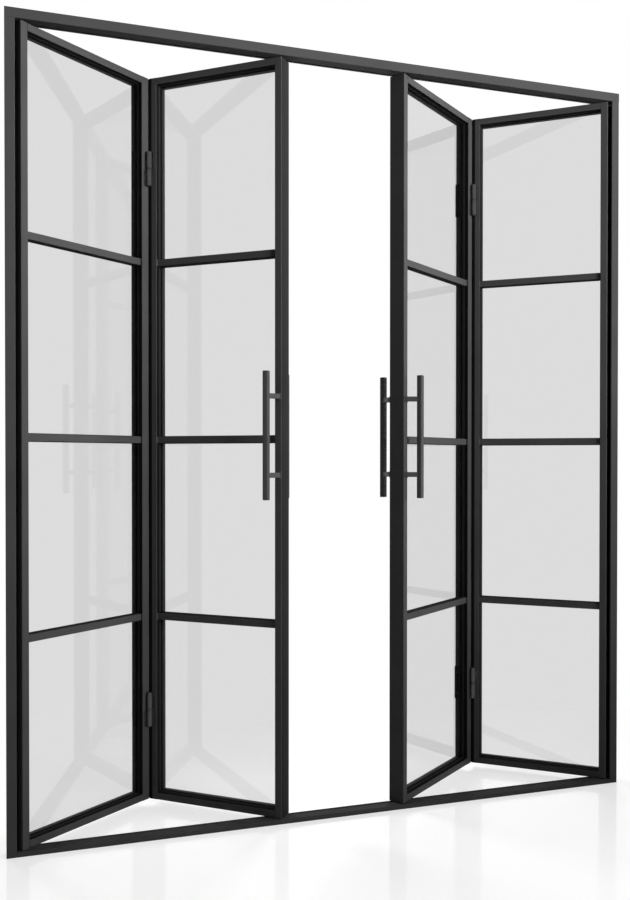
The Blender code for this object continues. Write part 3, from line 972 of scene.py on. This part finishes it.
class FOLDINGDOOR_OT_fit_seals(bpy.types.Operator):
    """Fit the black seals at the folds and at the jambs, and the black lips beside the folds and the dark
    band on the meeting edge that paint the shade there.
    """

    bl_idname = "folding_door.fit_seals"
    bl_label = "Fit the seals"

    def bulb(self, bm, centre, radius, low, high):
        """An upright rubber bulb."""
        lathe(bm, [(radius, low), (radius, high)], lambda a, b, c: centre + Vector((a, b, c)), BULB_SIDES)

    def fold(self, bm, first, second, sizes, low, high):
        """A bulb between the ends of two leaves, and a black lip on the second leaf's stile that paints the
        shade beside the fold.
        """
        edge = second.stile_span("fold")[0]
        corner = first.point(first.stile_span("fold")[1], first.front, 0)
        corner = (corner + second.point(edge, second.front, 0)) / 2
        half_spread = math.asin(first.along.cross(second.along).length) / 2
        behind = sizes.bulb_radius * PRESSED_BULB / math.sin(half_spread)
        self.bulb(bm, corner + Vector((0, behind, 0)), sizes.bulb_radius, low, high)
        # Painted shade: a thin black lip on the second leaf's face beside the fold
        outer, raised = edge + sizes.fold_shade_width, -sizes.fold_shade_thickness
        fold_shade = [(edge, SEAL_EMBED), (edge, raised), (outer, raised), (outer, SEAL_EMBED)]
        loft(bm, [[second.point(p.x, second.front + p.y, z) for p in rounded(fold_shade, SEAL_ROUNDING)]
                  for z in (low, high)])

    def jamb(self, bm, leaf, side, sizes, low, high):
        """A bulb that closes the gap between a jamb and the heel of its leaf."""
        edge = leaf.stile_span("jamb")[0 if side == "left" else 1]
        heel = leaf.point(edge, leaf.rear, 0)
        web = jamb_web(side)
        radius = abs(web - heel.x) / 2 + sizes.jamb_squeeze
        self.bulb(bm, Vector(((web + heel.x) / 2, heel.y - radius / 2, 0)), radius, low, high)

    def strip(self, bm, leaf, sizes, low, high):
        """A flat dark band on the edge that closes against the other pair, which paints the shade on that
        edge.
        """
        edge = leaf.stile_span("meeting")[1]
        near, far = leaf.front + sizes.edge_shade_margin, leaf.rear - 2 * sizes.edge_shade_margin
        outer, sunk = edge + sizes.edge_shade_thickness, edge - SEAL_EMBED
        outline = rounded([(sunk, near), (outer, near), (outer, far), (sunk, far)], EDGE_SHADE_ROUNDING)
        loft(bm, [[leaf.point(p.x, p.y, z) for p in outline] for z in (low, high)])

    def execute(self, context):
        sizes = context.scene.door_seals
        leaves = all_leaves()
        low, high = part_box("leaf_1_fold_stile")
        ends = low.z + sizes.end_margin, high.z - sizes.end_margin
        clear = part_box("frame_sill")[1].z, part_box("frame_head")[0].z
        for side, first, second, outer in (("left", leaves[0], leaves[1], leaves[0]),
                                           ("right", leaves[2], leaves[3], leaves[3])):
            fold_seal_and_shade, jamb_seal = bmesh.new(), bmesh.new()
            self.fold(fold_seal_and_shade, first, second, sizes, *ends)
            self.jamb(jamb_seal, outer, side, sizes, *clear)
            piece(f"fold_seal_{side}", fold_seal_and_shade, seal_rubber(context))
            piece(f"jamb_seal_{side}", jamb_seal, seal_rubber(context))
        # Painted shade: a dark band on the meeting edge of the second leaf
        meeting_edge_shade = bmesh.new()
        self.strip(meeting_edge_shade, leaves[1], sizes, *ends)
        piece("meeting_edge_shade", meeting_edge_shade, bead_coat(context))
        return {"FINISHED"}


class FOLDINGDOOR_OT_add_fixings(bpy.types.Operator):
    """Add the screws that hold the jambs to the wall, and the plugs that carry the sill on behind them."""

    bl_idname = "folding_door.add_fixings"
    bl_label = "Add the fixings"

    def screws(self, side, way, radius, context):
        """Screws up the inner face of a jamb, a little behind its middle."""
        low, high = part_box(f"frame_jamb_{side}")
        y = (low.y + high.y) / 2 + 3 * MM
        bm = bmesh.new()
        for share_up in JAMB_SCREW_HEIGHTS:
            centre = Vector((jamb_web(side), y, low.z + share_up * (high.z - low.z)))
            screw(bm, centre, Vector((way, 0, 0)), radius, height=1.0 * MM)
        piece(f"jamb_{side}_screws", bm, screw_steel(context))

    def plug(self, side, way, context):
        """A plug as high as the sill, in the hollow behind a jamb's flange."""
        low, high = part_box(f"frame_jamb_{side}")
        gap, set_back = 0.2 * MM, 1 * MM
        web = jamb_web(side)
        inner = (high.x if side == "left" else low.x) - way * gap
        front, rear = low.y + set_back, high.y - gap
        outline = [(inner, front), (web, front), (web, rear), (inner, rear)]
        bm = bmesh.new()
        loft(bm, [[Vector((x, y, z)) for x, y in outline] for z in (gap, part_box("frame_sill")[1].z - gap)])
        piece(f"sill_plug_{side}", bm, frame_coat(context))

    def execute(self, context):
        radius = context.scene.door_hardware.screw_radius * JAMB_SCREW_SHARE
        for side, way in (("left", 1), ("right", -1)):
            self.screws(side, way, radius, context)
            self.plug(side, way, context)
        return {"FINISHED"}


# Stage

# Name, place, target, width, height, spread in degrees and watts
LAMPS = (
    ("front right lamp", (2.4, -3.4, 1.8), (-0.2, 0.0, 2.3), 1.4, 1.2, 70.0, 62.0),
    ("far right lamp", (6.5, -3.6, 2.0), (-0.6, 0.1, 2.2), 1.6, 1.6, 50.0, 24.0),
    ("rear left lamp", (-2.4, 3.6, 1.5), (0.0, 0.2, 1.4), 1.2, 1.2, 50.0, 30.0),
    ("rear right lamp", (2.4, 3.6, 1.5), (0.0, 0.2, 1.4), 1.2, 1.2, 50.0, 30.0),
)
# How bright the floor looks in the dark, where 1 is white
FLOOR_GLOW = 0.60
# The floor's reflections fade out over this span of distances from the door. The distances are
# squeezed along the door's width and stretched across it, so that the fade follows its plan
FADE_SPAN = (0.5, 1.35)
FADE_PLAN = (0.55, 1.5, 0.0)


def soft_background(ambient):
    """White behind the door and in its reflections, and a plain soft light from all round."""
    world = bpy.data.worlds.new("studio")
    world.use_nodes = True
    tree = world.node_tree
    tree.nodes.clear()
    light = add_node(tree, "ShaderNodeBackground", {"Color": WHITE, "Strength": ambient})
    white = add_node(tree, "ShaderNodeBackground", {"Color": WHITE, "Strength": 1.0})
    out = add_node(tree, "ShaderNodeOutputWorld")
    mixed = mix_shaders(tree, seen_rays(tree), light.outputs["Background"], white.outputs["Background"])
    tree.links.new(mixed, out.inputs["Surface"])
    bpy.context.scene.world = world


def floor_material():
    """A glossy white floor that looks white to the eye where it is clear, and fades out round the door."""
    material, tree, shader = new_material("white floor")
    shader.inputs["Base Color"].default_value = (0.6, 0.6, 0.6, 1.0)
    shader.inputs["Specular IOR Level"].default_value = 0.35
    place = object_place(tree)
    worn = map_range(tree, noise(tree, place, scale=3.0), (0.0, 1.0), (0.06, 0.12))
    tree.links.new(worn, shader.inputs["Roughness"])
    seen = seen_rays(tree)
    shader.inputs["Emission Color"].default_value = WHITE
    tree.links.new(math_node(tree, "MULTIPLY", seen, FLOOR_GLOW), shader.inputs["Emission Strength"])
    distance = add_node(tree, "ShaderNodeVectorMath", operation="LENGTH")
    tree.links.new(stretched(tree, place, FADE_PLAN), distance.inputs[0])
    fade = map_range(tree, distance.outputs["Value"], FADE_SPAN, (0.0, 1.0))
    white = add_node(tree, "ShaderNodeEmission", {"Strength": 1.0}).outputs["Emission"]
    faded = mix_shaders(tree, math_node(tree, "MULTIPLY", fade, seen), shader.outputs["BSDF"], white)
    tree.links.new(faded, tree.nodes["Material Output"].inputs["Surface"])
    return material


def lay_floor(radius):
    """A round floor just under the door, which is part of the stage only."""
    bm = bmesh.new()
    bmesh.ops.create_circle(bm, cap_ends=True, segments=96, radius=radius)
    mesh = bpy.data.meshes.new("floor")
    bm.to_mesh(mesh)
    bm.free()
    mesh.materials.append(floor_material())
    floor = bpy.data.objects.new("floor", mesh)
    floor.location.z = -0.1 * MM
    bpy.context.scene.collection.objects.link(floor)


def area_lamp(name, place, target, width, height, spread, power):
    """A soft lamp that lights the door, but is itself seen neither directly nor in a pane."""
    data = bpy.data.lights.new(name, "AREA")
    data.shape = "RECTANGLE"
    data.size = width
    data.size_y = height
    data.spread = math.radians(spread)
    data.energy = power
    lamp = bpy.data.objects.new(name, data)
    lamp.location = place
    lamp.rotation_euler = (Vector(target) - Vector(place)).to_track_quat("-Z", "Y").to_euler()
    lamp.visible_camera = False
    lamp.visible_glossy = False
    lamp.visible_transmission = False
    bpy.context.scene.collection.objects.link(lamp)


def set_camera(stage):
    """The camera of the photograph's view."""
    data = bpy.data.cameras.new("camera")
    data.sensor_width = 36.0
    data.lens = stage.focal_pixels * data.sensor_width / PHOTO_HEIGHT
    data.shift_x, data.shift_y = stage.camera_shift
    camera = bpy.data.objects.new("camera", data)
    camera.location = stage.camera_place
    camera.rotation_euler = stage.camera_turn
    bpy.context.scene.collection.objects.link(camera)
    bpy.context.scene.camera = camera


class FOLDINGDOOR_OT_set_stage(bpy.types.Operator):
    """Set up the floor, the lamps, the soft light and the camera of the photograph's view."""

    bl_idname = "folding_door.set_stage"
    bl_label = "Set the stage"

    def execute(self, context):
        stage = context.scene.door_stage
        context.scene.view_settings.view_transform = "Standard"
        soft_background(stage.ambient)
        lay_floor(stage.floor_radius)
        for name, place, target, width, height, spread, watts in LAMPS:
            area_lamp(name, place, target, width, height, spread, watts * stage.lamp_share)
        set_camera(stage)
        return {"FINISHED"}


class FOLDINGDOOR_PT_looks(bpy.types.Panel):
    """Settings and build steps of the folding door."""

    bl_label = "Folding Door"
    bl_idname = "FOLDINGDOOR_PT_looks"
    bl_space_type = "VIEW_3D"
    bl_region_type = "UI"
    bl_category = "Folding Door"

    def draw(self, context):
        for name, heading, group in SETTINGS:
            settings = getattr(context.scene, name)
            box = self.layout.box()
            box.label(text=heading)
            for label in group.__annotations__:
                box.prop(settings, label)
        for operator in OPERATORS:
            self.layout.operator(operator.bl_idname)


# Name on the scene, heading in the panel, and class
SETTINGS = (
    ("door_finish", "Finish", DoorFinish),
    ("door_glazing", "Glazing", DoorGlazing),
    ("door_hardware", "Hardware", DoorHardware),
    ("door_seals", "Seals", DoorSeals),
    ("door_stage", "Stage", DoorStage),
)
OPERATORS = (
    FOLDINGDOOR_OT_coat_metal,
    FOLDINGDOOR_OT_glaze,
    FOLDINGDOOR_OT_build_pulls,
    FOLDINGDOOR_OT_build_hinges,
    FOLDINGDOOR_OT_fit_seals,
    FOLDINGDOOR_OT_add_fixings,
    FOLDINGDOOR_OT_set_stage,
)
CLASSES = (*[group for _, _, group in SETTINGS], *OPERATORS, FOLDINGDOOR_PT_looks)


def register():
    for cls in CLASSES:
        bpy.utils.register_class(cls)
    for name, _, group in SETTINGS:
        setattr(bpy.types.Scene, name, bpy.props.PointerProperty(type=group))


def unregister():
    for name, _, _ in SETTINGS:
        delattr(bpy.types.Scene, name)
    for cls in reversed(CLASSES):
        bpy.utils.unregister_class(cls)


def main():
    """Register the add-on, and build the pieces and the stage."""
    register()
    bpy.ops.folding_door.coat_metal()
    bpy.ops.folding_door.glaze()
    bpy.ops.folding_door.build_pulls()
    bpy.ops.folding_door.build_hinges()
    bpy.ops.folding_door.fit_seals()
    bpy.ops.folding_door.add_fixings()
    bpy.ops.folding_door.set_stage()


if __name__ == "__main__":
    main()
